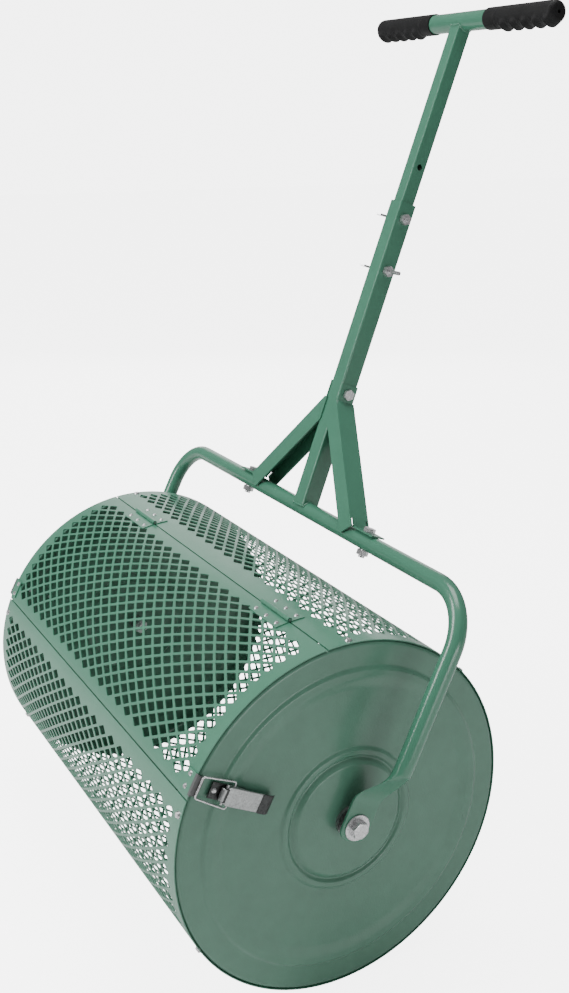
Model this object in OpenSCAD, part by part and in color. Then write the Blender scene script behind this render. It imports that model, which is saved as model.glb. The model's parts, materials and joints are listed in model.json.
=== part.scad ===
// Walk-behind compost and peat spreader: a perforated roller drum that turns in a bent-tube
// yoke, filled through a hinged door and pulled by a telescopic T-handle.
// The origin is on the ground under the middle of the drum; +X is the axle, +Z is up,
// and the handle leans towards +Y.

/* [Drum] */
// Outer diameter of the perforated shell
drum_d = 420; // [380:5:460]
// Length of the shell along the axle
drum_len = 610; // [500:5:700]
// Thickness of the shell and door sheet
sheet_t = 1.2; // [0.8:0.1:2]
// Angle of the door's hinge seam from the top
hinge_seam = 7; // [4:0.5:12]
// Angle of the door's latch seam from the top
latch_seam = 67.7; // [60:0.1:80]
// Gap left along each seam
seam_gap = 1; // [0.6:0.1:2]

/* [End discs] */
// Thickness of the pressed discs
disc_t = 1.5; // [1:0.1:3]
// Depth of the flange that the shell is screwed to
flange_depth = 24; // [15:1:40]
// Height of the pressed beads
bead_h = 3; // [1:0.5:5]
// Mean radius of the outer bead
outer_bead_r = 172; // [150:1:180]
// Mean radius of the inner bead
inner_bead_r = 81; // [70:1:100]
// How far the middle of the disc stands out
boss_h = 5; // [2:1:8]
// Rim screws on each disc
rim_screws_n = 7; // [5:2:7]

/* [Door hinges] */
// Length of each hinge
hinge_len = 65; // [50:1:80]
// Distance of each hinge's middle from the drum's middle
hinge_x = 190; // [120:1:220]
// Width of each leaf from the pin
leaf_w = 19; // [14:1:24]
// Radius of the knuckles
knuckle_r = 2.8; // [2.2:0.1:4]
// Radius of the hinge pins
hinge_pin_r = 1.5; // [1:0.1:1.8]

/* [Toggle latches] */
// Angle of the latches from the top
latch_at = 62.7; // [55:0.1:64]
// Radius at which the lever's pivot stands
latch_pivot_r = 175; // [170:1:178]
// Diameter of the bail's wire
wire_d = 2; // [1.6:0.1:2.4]
// Width of the lever
lever_w = 21; // [18:1:26]

/* [Yoke] */
// Outer diameter of the yoke tube
yoke_d = 21; // [19:0.5:25]
// Wall of the yoke tube
yoke_wall = 1.5; // [1:0.1:2.5]
// Distance of the crossbar from the axle
yoke_reach = 282.6; // [265:0.1:320]
// Half the distance between the arms
arm_x = 360; // [352:1:370]
// Bend radius of the corners on the tube's centre line
bend_r = 60; // [45:1:70]
// Lean of the yoke from upright
yoke_lean = 25.7; // [20:0.1:30]
// Width of the flattened ends
palm_w = 38; // [34:1:40]
// Thickness of the flattened ends
palm_t = 4; // [3:0.5:5]
// Diameter of the axle bolts
axle_d = 12; // [10:1:14]

/* [Handle] */
// Lean of the handle from upright
handle_lean = 20.6; // [15:0.1:25]
// Width of the lower square tube
lower_w = 25; // [24:1:28]
// Wall of the lower square tube
lower_wall = 2; // [1.5:0.1:2]
// Width of the telescopic square tube
upper_w = 20; // [18:1:20]
// Wall of the telescopic square tube
upper_wall = 1.5; // [1:0.1:2]
// Height of the lower tube's open end above the crossbar
lower_top = 423; // [400:1:440]
// Height of the T-bar above the crossbar
t_bar_at = 668.5; // [620:0.5:700]
// Height of the lower wing bolt above the crossbar
first_hole = 331; // [325:1:345]
// Distance between the adjustment holes
hole_pitch = 70.5; // [60:0.5:72]
// Diameter of the wing bolts
wing_bolt_d = 8; // [6:1:10]
// Length of the lower wing bolt's narrow end
wing_pin = 18; // [2:1:24]

/* [T-bar and grips] */
// Outer diameter of the T-bar
t_bar_d = 25; // [22:0.5:26]
// Length over both grips
t_bar_len = 366; // [350:2:440]
// Bare length between the grips
bare_len = 114; // [90:2:140]
// Outer diameter of the grips
grip_d = 28; // [27.5:0.5:32]
// Height of the finger ridges
ridge_h = 4; // [2:0.5:5]
// Distance between the finger ridges
ridge_pitch = 20; // [18:1:22]

/* [Braces] */
// Width of the channel's flanges
flange_w = 24; // [18:1:26]
// Thickness of the channel's sheet
brace_t = 2; // [1.5:0.1:2.5]
// Outer foot of each brace from the middle
brace_foot_x = 130; // [110:1:150]
// Height at which the brace meets the lower tube
brace_top = 151; // [140:1:165]
// Length of the tab at each end
tab_len = 40; // [36:1:50]

/* [Hidden] */

$fn = 64;
EPS = 0.01;
RIGHT = 1;
LEFT = -1;

GREEN = "#7aa78e";
DEEP_GREEN = "#5f8672";
ZINC = "#c4c8cb";
STEEL = "#8f9396";
RUBBER = "#222224";

drum_r = drum_d / 2;
half_len = drum_len / 2;
running = 0.05;                  // radial clearance of every turning fit
seam_half = asin(seam_gap / 2 / drum_r);

// Disc: levels along X, measured from the drum's middle
disc_face = half_len;
disc_gap = 0.4;                  // between the shell and the disc's flange
flange_r = drum_r - sheet_t - disc_gap;
rim_bend = 5;
bead_w = 15;
hub_hole_r = 9;
shell_half = half_len - 1;
screw_x = half_len - 8;
screw_r = 2;
first_screw = latch_seam + 5.3;
last_screw = 360 - 1.2;
screw_step = (last_screw - first_screw) / (rim_screws_n - 1);

// Hinge: the pin lies over the seam, clear of both sheets
pin_r_from_axle = drum_r + knuckle_r + 0.1;
leaf_t = 1.2;
knuckles = 5;
knuckle_len = hinge_len / knuckles;
knuckle_gap = 0.3;
leaf_clear = 0.5;                // between a leaf and the other leaf's knuckles
rivet_pitch = 24;
rivet_arc = 13;                  // arc from the pin to the rivets
rivet_head_r = 3;
rivet_head_h = 1.4;
rivet_shank_r = 1.6;

// Latch: radial places and levels along X
base_x = disc_face + bead_h;
base_t = 1.6;
pivot_x = base_x + base_t + 4.4;
bail_back = 8.5;                 // the bail's pivot is this far behind the lever's
bail_low = 0.8;                  // and this far under it, so the latch locks over centre
bail_r = latch_pivot_r - bail_back;
bail_x = pivot_x - bail_low;
wire_r = wire_d / 2;
hook_r = drum_r - 4.7;           // the wire's bar lies at this radius
hook_x = disc_face + 4.9;
lever_t = 1.2;
lever_top = pivot_x + 4.3;
lever_end_r = 116;
latch_pin_r = 1.5;
catch_t = 1.5;
catch_w = 24;

// Yoke and axle, from the palm outwards and inwards
yoke_r = yoke_d / 2;
palm_in = disc_face + 18;
palm_out = palm_in + palm_t;
axle_r = axle_d / 2;
washer_t = 2;
washer_r = axle_r * 2.6;
head_h = axle_d * 0.64;
bush_out = disc_face + boss_h + 4;
bush_in = disc_face - 12;
bush_r = hub_hole_r;
kink_r = 70;                     // radius at which the arm turns in to its palm
palm_top_r = 32;

// Handle frame
crossbar_y = yoke_reach * sin(yoke_lean);
crossbar_z = yoke_reach * cos(yoke_lean);
bolt_r = wing_bolt_d / 2;
hole_r = bolt_r + running;
hole_at = [for (i = [0:2]) first_hole + i * hole_pitch];
upper_bottom = first_hole - 30;
brace_half = lower_w / 2;
foot_bolt_x = brace_foot_x + tab_len / 2;
cross_bolt_at = brace_top + 10.5;
tab_w = 20;
hex_across = 13;
hex_head_h = 5.3;
nut_h = 6.5;

// ---------- places ----------

// Everything is drawn round the axle, which lies this far above the ground
module on_axle() { translate([0, 0, drum_r]) children(); }

// Turns from the top of the drum towards the door side
module at_angle(a) { rotate([a, 0, 0]) children(); }

// Mirrors a right-hand piece for the left side
module on_side(side) { mirror([side == LEFT ? 1 : 0, 0, 0]) children(); }

// The handle's own frame: Z runs up the handle from the crossbar
module on_handle() {
    translate([0, crossbar_y, crossbar_z]) rotate([-handle_lean, 0, 0]) children();
}

// The yoke's own frame: Z runs from the axle to the crossbar
module on_yoke() { rotate([-yoke_lean, 0, 0]) children(); }

// ---------- helpers ----------

// Turns a profile of [radius, x] round the axle from angle a to angle b
module sector(a, b) {
    rotate([90, 0, 90]) rotate([0, 0, 90 + a]) rotate_extrude(angle = b - a, $fn = 180) children();
}

module full_turn() { rotate([90, 0, 90]) rotate_extrude($fn = 180) children(); }

// A cylinder along X between two places
module x_cylinder(r, from_x, to_x) {
    translate([from_x, 0, 0]) rotate([0, 90, 0]) cylinder(r = r, h = to_x - from_x);
}

// A profile of [x, z] made width thick along Y, in the middle or from a side
module slab(width) { rotate([90, 0, 0]) linear_extrude(width, center = true) children(); }

// A round rod between two points
module rod(a, b, r) {
    d = b - a;
    translate(a) rotate([0, acos(d.z / norm(d)), atan2(d.y, d.x)])
        cylinder(r = r, h = norm(d), $fn = 32);
}

// Corner points of a square of width w with rounded corners
function rounded_square(w, r) = [for (q = [0:3]) for (i = [0:3])
    [(w / 2 - r) * sign(cos(q * 90 + 45)) + r * cos(q * 90 + i * 30),
     (w / 2 - r) * sign(sin(q * 90 + 45)) + r * sin(q * 90 + i * 30)]];

module square_tube(w, wall, from_z, to_z) {
    translate([0, 0, from_z]) linear_extrude(to_z - from_z) difference() {
        polygon(rounded_square(w, 2));
        polygon(rounded_square(w - 2 * wall, 1));
    }
}

module hexagon(across, h) { cylinder(r = across / sqrt(3), h = h, $fn = 6); }

// A hexagon nut with its hole, standing on z = 0
module nut(across, h, r) {
    difference() {
        hexagon(across, h);
        translate([0, 0, -EPS]) cylinder(r = r, h = h + 2 * EPS);
    }
}

// A domed rivet standing on z = 0, with its shank below
module rivet(shank) {
    cylinder(r1 = rivet_head_r, r2 = rivet_head_r * 0.6, h = rivet_head_h, $fn = 32);
    translate([0, 0, -shank]) cylinder(r = rivet_shank_r, h = shank + EPS, $fn = 32);
}

// ---------- drum ----------

module shell_sheet(a, b) {
    sector(a, b) translate([drum_r - sheet_t, -shell_half]) square([sheet_t, 2 * shell_half]);
}

// Places its children, pointing out, at each rim screw
module at_rim_screws() {
    for (side = [RIGHT, LEFT], i = [0:rim_screws_n - 1])
        at_angle(first_screw + i * screw_step) translate([side * screw_x, 0, drum_r]) children();
}

module at_hinge_rivets(arc) {
    for (side = [RIGHT, LEFT], i = [-1:1])
        at_angle(hinge_seam + side_angle(arc)) translate([side * hinge_x + i * rivet_pitch, 0, drum_r])
            children();
}
function side_angle(arc) = arc / drum_r * 180 / PI;

module drum_shell() {
    color(GREEN) on_axle() difference() {
        shell_sheet(latch_seam + seam_half, 360 + hinge_seam - seam_half);
        at_rim_screws() translate([0, 0, -5]) cylinder(r = screw_r + running, h = 10, $fn = 32);
        at_hinge_rivets(-rivet_arc) translate([0, 0, -5])
            cylinder(r = rivet_shank_r + running, h = 10, $fn = 32);
    }
}

module door_panel() {
    color(GREEN) on_axle() difference() {
        shell_sheet(hinge_seam + seam_half, latch_seam - seam_half);
        at_hinge_rivets(rivet_arc) translate([0, 0, -5])
            cylinder(r = rivet_shank_r + running, h = 10, $fn = 32);
        at_catch_rivets() translate([0, 0, -5]) cylinder(r = rivet_shank_r + running, h = 10, $fn = 32);
    }
}

// Outer outline of the disc as [radius, x], from the hub to the flange's end
function bead(mid, base, top) = [for (i = [0:6])
    [mid + bead_w * (i / 6 - 0.5), base + (top - base) * i / 6 + bead_h * (1 - cos(i * 60)) / 2]];
disc_outline = concat(
    [[hub_hole_r, disc_face + boss_h]],
    bead(inner_bead_r, disc_face + boss_h, disc_face),
    bead(outer_bead_r, disc_face, disc_face),
    [for (i = [0:6]) [flange_r - rim_bend + rim_bend * sin(i * 15), disc_face - rim_bend + rim_bend * cos(i * 15)]],
    [[flange_r, disc_face - flange_depth]]);
inner_bend = rim_bend - disc_t;
disc_inline = concat(
    [[flange_r - disc_t, disc_face - flange_depth]],
    [for (i = [6:-1:0]) [flange_r - rim_bend + inner_bend * sin(i * 15),
                         disc_face - rim_bend + inner_bend * cos(i * 15)]],
    [for (i = [6:-1:0]) bead(outer_bead_r, disc_face, disc_face)[i] - [0, disc_t]],
    [for (i = [6:-1:0]) bead(inner_bead_r, disc_face + boss_h, disc_face)[i] - [0, disc_t]],
    [[hub_hole_r, disc_face + boss_h - disc_t]]);

module end_disc(side) {
    color(DEEP_GREEN) on_axle() difference() {
        on_side(side) full_turn() polygon(concat(disc_outline, disc_inline));
        at_rim_screws() translate([0, 0, -12]) cylinder(r = screw_r + running, h = 12, $fn = 32);
        on_side(side) at_latch_rivets() rotate([0, 90, 0])
            cylinder(r = rivet_shank_r + running, h = 20, center = true, $fn = 32);
    }
}

// Flanged bushes that are pressed into the discs and turn on the axle bolts
module hub_bushes() {
    color(STEEL) on_axle() for (side = [RIGHT, LEFT]) on_side(side) difference() {
        union() {
            x_cylinder(bush_r, bush_in, bush_out);
            x_cylinder(bush_r + 8, disc_face + boss_h, bush_out);
        }
        x_cylinder(axle_r + running, bush_in - 1, bush_out + 1);
    }
}

module rim_screws() {
    color(ZINC) on_axle() at_rim_screws() {
        cylinder(r1 = 4.2, r2 = 2.8, h = 2.2, $fn = 32);
        translate([0, 0, -8]) cylinder(r = screw_r, h = 8 + EPS, $fn = 32);
    }
}

// ---------- hinges ----------

// Knuckles first, first + 2, ... of the hinge that stands on x = 0
module knuckle_row(first) {
    for (k = [first:2:knuckles - 1])
        x_cylinder(knuckle_r, -hinge_len / 2 + k * knuckle_len + knuckle_gap / 2,
            -hinge_len / 2 + (k + 1) * knuckle_len - knuckle_gap / 2);
}

// One leaf: way is 1 on the door's side of the seam and -1 on the shell's side
module hinge_leaf(side, way, first) {
    near = side_angle(knuckle_r * 0.3);
    far = side_angle(leaf_w);
    on_axle() translate([side * hinge_x, 0, 0]) difference() {
        union() {
            at_angle(hinge_seam) translate([0, 0, pin_r_from_axle]) knuckle_row(first);
            sector(hinge_seam + (way > 0 ? near : -far), hinge_seam + (way > 0 ? far : -near))
                translate([drum_r, -hinge_len / 2]) square([leaf_t, hinge_len]);
        }
        // room for the other leaf's knuckles
        at_angle(hinge_seam) translate([0, 0, pin_r_from_axle]) {
            for (k = [1 - first:2:knuckles - 1])
                x_cylinder(knuckle_r + leaf_clear, -hinge_len / 2 + k * knuckle_len - knuckle_gap / 2,
                    -hinge_len / 2 + (k + 1) * knuckle_len + knuckle_gap / 2);
            x_cylinder(hinge_pin_r + running, -hinge_len, hinge_len);
        }
        for (i = [-1:1]) at_angle(hinge_seam + way * side_angle(rivet_arc))
            translate([i * rivet_pitch, 0, drum_r - 1])
                cylinder(r = rivet_shank_r + running, h = 5, $fn = 32);
    }
}

module hinge_pin(side) {
    color(STEEL) on_axle() translate([side * hinge_x, 0, 0]) at_angle(hinge_seam)
        translate([0, 0, pin_r_from_axle])
            x_cylinder(hinge_pin_r, -hinge_len / 2 - 0.5, hinge_len / 2 + 0.5);
}

module hinge_rivets(way) {
    color(ZINC) on_axle() at_hinge_rivets(way * rivet_arc) translate([0, 0, leaf_t])
        rivet(leaf_t + sheet_t + 0.6);
}

// ---------- latches ----------

module on_latch(side) { on_axle() on_side(side) at_angle(latch_at) children(); }

module at_latch_rivets() {
    at_angle(latch_at) for (r = [latch_pivot_r - 21, latch_pivot_r + 11]) translate([base_x, 0, r]) children();
}

module at_catch_rivets() {
    for (side = [RIGHT, LEFT]) on_side(side) for (way = [-1, 1])
        at_angle(latch_at + way * side_angle(catch_w / 2 - 5)) translate([half_len - 11, 0, drum_r])
            children();
}

// Riveted plate with a barrel round the pivot
module latch_base(side) {
    color(STEEL) on_latch(side) difference() {
        union() {
            translate([base_x, -9, latch_pivot_r - 26]) cube([base_t, 18, 42]);
            translate([pivot_x, 0, latch_pivot_r]) rotate([90, 0, 0]) cylinder(r = 3.9, h = 15, center = true);
            translate([base_x, -7.5, latch_pivot_r - 2.5]) cube([pivot_x - base_x, 15, 5]);
        }
        translate([pivot_x, 0, latch_pivot_r]) rotate([90, 0, 0])
            cylinder(r = latch_pin_r + running, h = 40, center = true);
        for (r = [latch_pivot_r - 21, latch_pivot_r + 11]) translate([base_x, 0, r]) rotate([0, 90, 0])
            cylinder(r = rivet_shank_r + running, h = 10, center = true, $fn = 32);
    }
}

module latch_pin(side) {
    color(ZINC) on_latch(side) translate([pivot_x, 0, latch_pivot_r]) rotate([90, 0, 0])
        cylinder(r = latch_pin_r, h = lever_w + 1, center = true);
}

module latch_rivets() {
    color(ZINC) on_axle() for (side = [RIGHT, LEFT]) on_side(side) at_latch_rivets()
        translate([base_t, 0, 0]) rotate([0, 90, 0]) rivet(base_t + bead_h + disc_t + 1);
}

// Side view of the lever as [x, radius]: its cheeks, its top and its turned-down tip
lever_cheek = [[pivot_x - 2.8, bail_r - 3], [pivot_x - 3.4, latch_pivot_r], [pivot_x + 3.4, latch_pivot_r],
    [lever_top, latch_pivot_r - 6], [lever_top, lever_end_r + 2], [lever_top - 3, lever_end_r + 2],
    [lever_top - 3.5, bail_r - 14]];
lever_tip = [[lever_top, lever_end_r + 2], [lever_top + lever_t, lever_end_r + 2],
    [lever_top + lever_t, lever_end_r - 0.5], [lever_top - 4.5, lever_end_r - 6.8],
    [lever_top - 5.3, lever_end_r - 5.9]];

module latch_lever(side) {
    color(ZINC) on_latch(side) difference() {
        union() {
            for (way = [-1, 1]) translate([0, way * (lever_w - lever_t) / 2, 0]) {
                slab(lever_t) polygon(lever_cheek);
                translate([pivot_x, 0, latch_pivot_r]) rotate([90, 0, 0]) cylinder(r = 3.5, h = lever_t, center = true);
            }
            translate([lever_top, -lever_w / 2, lever_end_r + 2])
                cube([lever_t, lever_w, latch_pivot_r - 6 - lever_end_r - 2]);
            slab(lever_w) polygon(lever_tip);
        }
        translate([pivot_x, 0, latch_pivot_r]) rotate([90, 0, 0])
            cylinder(r = latch_pin_r + running, h = 40, center = true);
        translate([bail_x, 0, bail_r]) rotate([90, 0, 0])
            cylinder(r = wire_r + running, h = 40, center = true, $fn = 32);
    }
}

// Wire loop from the lever's cheeks to the catch: two pivot ends, two arms and the hook
bail_back_half = 15.5;
bail_hook_half = 12;

module latch_bail(side) {
    color(ZINC) on_latch(side) {
        rod([hook_x, -bail_hook_half - wire_r, hook_r], [hook_x, bail_hook_half + wire_r, hook_r], wire_r);
        for (way = [-1, 1]) {
            rod([bail_x, way * (lever_w / 2 - 1.7), bail_r],
                [bail_x, way * (bail_back_half + wire_r), bail_r], wire_r);
            rod([bail_x, way * bail_back_half, bail_r], [hook_x, way * bail_hook_half, hook_r],
                wire_r * 0.9);
        }
    }
}

// Bracket that wraps over the door's corner; its lip takes the bail
catch_leg = disc_face + 1.4;
catch_lip = [[catch_leg, drum_r + catch_t], [catch_leg, hook_r - 3], [hook_x - wire_r - 0.3, hook_r - 3],
    [hook_x - wire_r - 0.3, hook_r - 1.5], [catch_leg + catch_t, hook_r - 1.5],
    [catch_leg + catch_t, drum_r + catch_t]];

module latch_catch(side) {
    half = side_angle(catch_w / 2);
    color(STEEL) on_axle() on_side(side) difference() {
        union() {
            sector(latch_at - half, latch_at + half) translate([drum_r, half_len - 18])
                square([catch_t, 18 + catch_leg - half_len + catch_t]);
            at_angle(latch_at) slab(catch_w - 2) polygon(catch_lip);
        }
        for (way = [-1, 1]) at_angle(latch_at + way * side_angle(catch_w / 2 - 5))
            translate([half_len - 11, 0, drum_r - 1]) cylinder(r = rivet_shank_r + running, h = 5, $fn = 32);
    }
}

module catch_rivets() {
    color(ZINC) on_axle() at_catch_rivets() translate([0, 0, catch_t]) rivet(catch_t + sheet_t);
}

// ---------- yoke ----------

// The bent tube's straight runs and corners, at radius r
module yoke_run(r) {
    x_cylinder(r, -(arm_x - bend_r), arm_x - bend_r);
    for (side = [RIGHT, LEFT]) on_side(side) {
        translate([arm_x - bend_r, 0, -bend_r]) rotate([90, 0, 0])
            rotate_extrude(angle = 90) translate([bend_r, 0]) circle(r);
        translate([arm_x, 0, kink_r - yoke_reach]) cylinder(r = r, h = yoke_reach - bend_r - kink_r);
    }
}

// The arm's flattened end: it narrows from a round tube to a flat palm and joggles in
module palm() {
    hull() {
        translate([arm_x, 0, kink_r]) cylinder(r = yoke_r, h = 1, $fn = 32);
        translate([palm_in + 3, 1 - palm_w / 2, palm_top_r + 4]) cube([palm_t + 2, palm_w - 2, 1]);
    }
    hull() {
        translate([palm_in + 3, 1 - palm_w / 2, palm_top_r + 4]) cube([palm_t + 2, palm_w - 2, 1]);
        translate([palm_in, -palm_w / 2, palm_top_r - 5]) cube([palm_t, palm_w, 1]);
    }
    translate([palm_in, 0, 0]) rotate([90, 0, 90]) linear_extrude(palm_t) intersection() {
        translate([-palm_w / 2, -17]) square([palm_w, 17 + palm_top_r - 4]);
        union() {
            circle(palm_w / 2 + 3);
            translate([-palm_w / 2, 0]) square([palm_w, palm_top_r]);
        }
    }
}

module yoke_tube() {
    color(GREEN) on_axle() difference() {
        union() {
            on_yoke() difference() {
                translate([0, 0, yoke_reach]) yoke_run(yoke_r);
                translate([0, 0, yoke_reach]) yoke_run(yoke_r - yoke_wall);
            }
            for (side = [RIGHT, LEFT]) on_yoke() on_side(side) palm();
        }
        x_cylinder(axle_r + running, -arm_x, arm_x);
        on_handle() for (side = [RIGHT, LEFT]) translate([side * foot_bolt_x, 0, -20])
            cylinder(r = bolt_r + running, h = 40);
    }
}

// ---------- handle ----------

module across_handle(z) { translate([0, 0, z]) rotate([0, 90, 0]) children(); }

module lower_tube() {
    color(GREEN) on_axle() on_handle() difference() {
        square_tube(lower_w, lower_wall, 3, lower_top);
        x_cylinder(yoke_r, -lower_w, lower_w);
        for (z = [hole_at[0], hole_at[1], cross_bolt_at]) across_handle(z)
            cylinder(r = hole_r, h = 60, center = true);
    }
}

module upper_tube() {
    color(GREEN) on_axle() on_handle() difference() {
        square_tube(upper_w, upper_wall, upper_bottom, t_bar_at - 3);
        translate([0, 0, t_bar_at]) x_cylinder(t_bar_d / 2, -upper_w, upper_w);
        for (z = hole_at) across_handle(z) cylinder(r = hole_r, h = 60, center = true);
    }
}

grip_end = t_bar_len / 2;
cap_t = 5;

module t_bar() {
    color(GREEN) on_axle() on_handle() translate([0, 0, t_bar_at]) difference() {
        x_cylinder(t_bar_d / 2, -grip_end + cap_t, grip_end - cap_t);
        x_cylinder(t_bar_d / 2 - 1.5, -grip_end, grip_end);
    }
}

// Rubber sleeve with a domed outer end and five pointed finger ridges underneath
dome = 7;
grip_outline = concat([[0, bare_len / 2], [grip_d / 2, bare_len / 2]],
    [for (i = [0:6]) [grip_d / 2 - dome + dome * cos(i * 15), grip_end - dome + dome * sin(i * 15)]],
    [[0, grip_end]]);

module grip(side) {
    first_ridge = grip_end - 11;
    color(RUBBER) on_axle() on_handle() on_side(side) translate([0, 0, t_bar_at]) difference() {
        union() {
            rotate([90, 0, 90]) rotate_extrude($fn = 96) polygon(grip_outline);
            for (i = [0:4]) translate([first_ridge - i * ridge_pitch, 0, 0]) slab(grip_d * 0.55)
                polygon([[-8, 4 - grip_d / 2], [-7, 1 - grip_d / 2], [0, 1 - ridge_h - grip_d / 2],
                    [7, 1 - grip_d / 2], [8, 4 - grip_d / 2]]);
        }
        x_cylinder(t_bar_d / 2, bare_len / 2 - 1, grip_end - cap_t);
        x_cylinder(2, 0, grip_end + 1);
    }
}

// ---------- braces ----------

foot_z = yoke_r;                 // the foot tab lies on the crossbar
web_foot = [brace_foot_x, foot_z + brace_t];
web_head = [brace_half + brace_t, brace_top];
brace_dir = (web_head - web_foot) / norm(web_head - web_foot);
brace_in = [-brace_dir.y, brace_dir.x] * -1;
side_in = brace_in.x < 0 ? brace_in : -brace_in;
inner_foot = web_foot + side_in * flange_w;
overlap_x = brace_half - 3.5;    // the flanges end this far across the lower tube
inner_head = inner_foot + brace_dir * ((overlap_x - inner_foot.x) / brace_dir.x);

// Folded channel: web outside, flanges in front and behind, a bolted tab at each end
module brace(side) {
    color(GREEN) on_axle() on_handle() on_side(side) difference() {
        union() {
            for (way = [-1, 1]) translate([0, way * (brace_half + brace_t / 2), 0])
                slab(brace_t) polygon([web_foot, web_head, [overlap_x, brace_top], inner_head, inner_foot]);
            slab(2 * brace_half) polygon([web_foot, web_head, web_head + [-brace_t, 0],
                web_foot + side_in * brace_t + brace_dir * 0.5]);
            translate([brace_half, -brace_half, brace_top - 1]) cube([brace_t, 2 * brace_half, 24]);
            translate([brace_foot_x - 3, -tab_w / 2, foot_z]) cube([tab_len + 3, tab_w, brace_t]);
        }
        // relief on both sides of the foot tab
        for (way = [-1, 1]) translate([brace_foot_x - 20, way > 0 ? tab_w / 2 : -brace_half, foot_z - 4])
            cube([40, brace_half - tab_w / 2, 14]);
        translate([foot_bolt_x, 0, 0]) cylinder(r = bolt_r + running, h = 30);
        across_handle(cross_bolt_at) cylinder(r = bolt_r + running, h = 60, center = true);
    }
}

module brace_bolts() {
    color(ZINC) on_axle() on_handle() for (side = [RIGHT, LEFT]) translate([side * foot_bolt_x, 0, 0]) {
        translate([0, 0, foot_z + brace_t]) hexagon(hex_across, hex_head_h);
        translate([0, 0, -yoke_r - nut_h - 3]) cylinder(r = bolt_r, h = 2 * yoke_r + nut_h + 3 + brace_t);
    }
}

module brace_nuts() {
    color(ZINC) on_axle() on_handle() for (side = [RIGHT, LEFT])
        translate([side * foot_bolt_x, 0, -yoke_r - nut_h]) nut(hex_across, nut_h, bolt_r + running);
}

// A bolt along X at height z: its head is on the right, at head_x
module cross_shank(z, head_x, tail) {
    across_handle(z) translate([0, 0, -tail]) cylinder(r = bolt_r, h = tail + head_x);
}

module cross_bolt() {
    face = brace_half + brace_t;
    color(ZINC) on_axle() on_handle() {
        across_handle(cross_bolt_at) translate([0, 0, face]) hexagon(hex_across, hex_head_h);
        cross_shank(cross_bolt_at, face, face + nut_h + 3);
    }
}

module cross_nut() {
    color(ZINC) on_axle() on_handle() across_handle(cross_bolt_at)
        translate([0, 0, -brace_half - brace_t - nut_h]) nut(hex_across, nut_h, bolt_r + running);
}

// Wing bolt: a collar with two ears on the left of the lower tube, turned across it, and a shank
// through to its nut on the right. A narrow end of length pin may stand out past the thread.
ear_span = 18;
pin_r = 2.6;
module wing_bolt(z, pin) {
    face = lower_w / 2 + 0.2;
    thread_end = lower_w / 2 + nut_h + 3;
    color(ZINC) on_axle() on_handle() {
        cross_shank(z, thread_end, face + 6);
        across_handle(z) translate([0, 0, thread_end - 1]) cylinder(r = pin_r, h = pin + 1);
        across_handle(z) rotate([0, 180, 0]) translate([0, 0, face]) cylinder(r = 6.5, h = 7);
        across_handle(z) rotate([0, 180, 0]) for (way = [-1, 1]) translate([0, 0, face + 3]) rotate([90, 0, 90])
            linear_extrude(2.4, center = true)
                polygon([[0, 0], [way * 6, 0], [way * (ear_span - 3), 5], [way * ear_span, 12],
                    [way * (ear_span - 5), 14], [way * 5, 6], [0, 4]]);
    }
}

module wing_bolt_nuts() {
    color(ZINC) on_axle() on_handle() for (z = [hole_at[0], hole_at[1]]) across_handle(z)
        translate([0, 0, lower_w / 2]) nut(hex_across, nut_h, hole_r);
}

// ---------- axle hardware ----------

module axle_bolts() {
    color(ZINC) on_axle() for (side = [RIGHT, LEFT]) on_side(side) {
        translate([palm_out + washer_t, 0, 0]) rotate([0, 90, 0]) hexagon(axle_d * 1.5, head_h);
        x_cylinder(axle_r, bush_in - 16, palm_out + washer_t);
    }
}

module axle_washers() {
    color(ZINC) on_axle() for (side = [RIGHT, LEFT]) on_side(side) difference() {
        x_cylinder(washer_r, palm_out, palm_out + washer_t);
        x_cylinder(axle_r + running, palm_out - 1, palm_out + washer_t + 1);
    }
}

module axle_spacers() {
    color(STEEL) on_axle() for (side = [RIGHT, LEFT]) on_side(side) difference() {
        x_cylinder(axle_r + 3, bush_out + 0.3, palm_in);
        x_cylinder(axle_r + running, bush_out - 1, palm_in + 1);
    }
}

module axle_nuts() {
    color(ZINC) on_axle() for (side = [RIGHT, LEFT]) on_side(side)
        translate([bush_in - 0.3 - 10, 0, 0]) rotate([0, 90, 0]) nut(axle_d * 1.5, 10, axle_r + running);
}

// ---------- pieces ----------

drum_shell();
door_panel();
end_disc(RIGHT);  // end_disc_right
end_disc(LEFT);  // end_disc_left
hub_bushes();
rim_screws();
color(GREEN) hinge_leaf(RIGHT, -1, 0);  // hinge_shell_leaf_right
color(GREEN) hinge_leaf(LEFT, -1, 0);  // hinge_shell_leaf_left
color(GREEN) hinge_leaf(RIGHT, 1, 1);  // hinge_door_leaf_right
color(GREEN) hinge_leaf(LEFT, 1, 1);  // hinge_door_leaf_left
hinge_pin(RIGHT);  // hinge_pin_right
hinge_pin(LEFT);  // hinge_pin_left
hinge_rivets(-1);  // hinge_shell_rivets
hinge_rivets(1);  // hinge_door_rivets
latch_base(RIGHT);  // latch_base_right
latch_base(LEFT);  // latch_base_left
latch_pin(RIGHT);  // latch_pin_right
latch_pin(LEFT);  // latch_pin_left
latch_rivets();
latch_lever(RIGHT);  // latch_lever_right
latch_lever(LEFT);  // latch_lever_left
latch_bail(RIGHT);  // latch_bail_right
latch_bail(LEFT);  // latch_bail_left
latch_catch(RIGHT);  // latch_catch_right
latch_catch(LEFT);  // latch_catch_left
catch_rivets();
yoke_tube();
lower_tube();
upper_tube();
t_bar();
grip(RIGHT);  // grip_right
grip(LEFT);  // grip_left
brace(RIGHT);  // brace_right
brace(LEFT);  // brace_left
brace_bolts();
brace_nuts();
cross_bolt();
cross_nut();
wing_bolt(hole_at[1], 1.5);  // wing_bolt_upper
wing_bolt(hole_at[0], wing_pin);  // wing_bolt_lower
wing_bolt_nuts();
axle_bolts();
axle_washers();
axle_spacers();
axle_nuts();
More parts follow.
